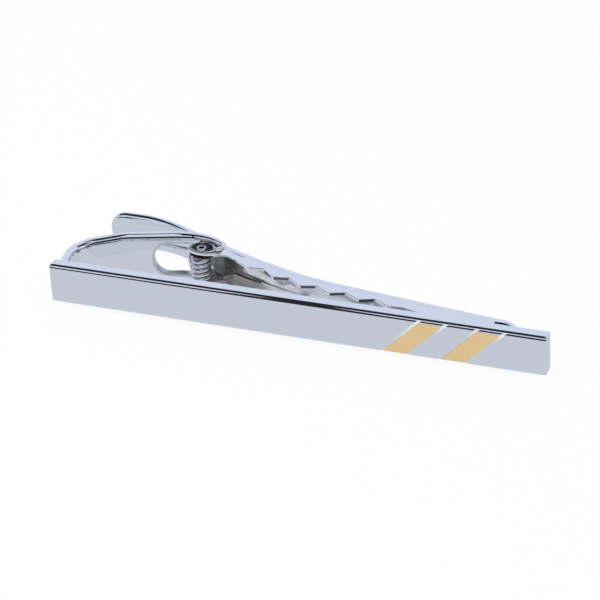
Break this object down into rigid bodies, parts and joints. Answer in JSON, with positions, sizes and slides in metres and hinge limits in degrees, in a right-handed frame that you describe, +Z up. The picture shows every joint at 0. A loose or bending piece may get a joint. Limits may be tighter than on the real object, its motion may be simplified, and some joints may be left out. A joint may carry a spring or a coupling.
{
  "type": "tie clip",
  "caption": "Sprung tie clip: a slim chromed front bar with diagonal gold inlays and, behind it, a hinged lever whose toothed jaw clamps cloth against the bar.",
  "frame": {"origin": "bottom centre of the bounding box, the clip standing on its long edge with the jaw closed", "axes": "+X along the bar from the hinge end to the open end, +Y from the bar's face back to the lever, +Z up along the hinge pin"},
  "size_m": [0.06, 0.0148, 0.0066],
  "materials": {
    "bar_chrome": "polished",
    "gold_inlay": "satin gold",
    "sheet_chrome": "polished",
    "pin_chrome": "polished",
    "grip_chrome": "polished",
    "spring_wire": "bright wire"
  },
  "bodies": {
    "frame": {"front_bar": "bar_chrome", "gold_stripe_left": "gold_inlay", "gold_stripe_right": "gold_inlay", "return_arm": "sheet_chrome", "hinge_pin": "pin_chrome", "torsion_spring": "spring_wire"},
    "lever": {"clip_lever": "sheet_chrome", "grip_strip": "grip_chrome"}
  },
  "joints": [
    {"name": "lever_hinge", "type": "hinge", "parent": "frame", "child": "lever", "pos_m": [-0.0137, 0.0007, 0.0033], "axis": [0, 0, 1], "range_deg": [0, 28], "stiffness_Nm_per_rad": 0.02, "springref_deg": -17.19, "deforming": ["torsion_spring"]}
  ]
}
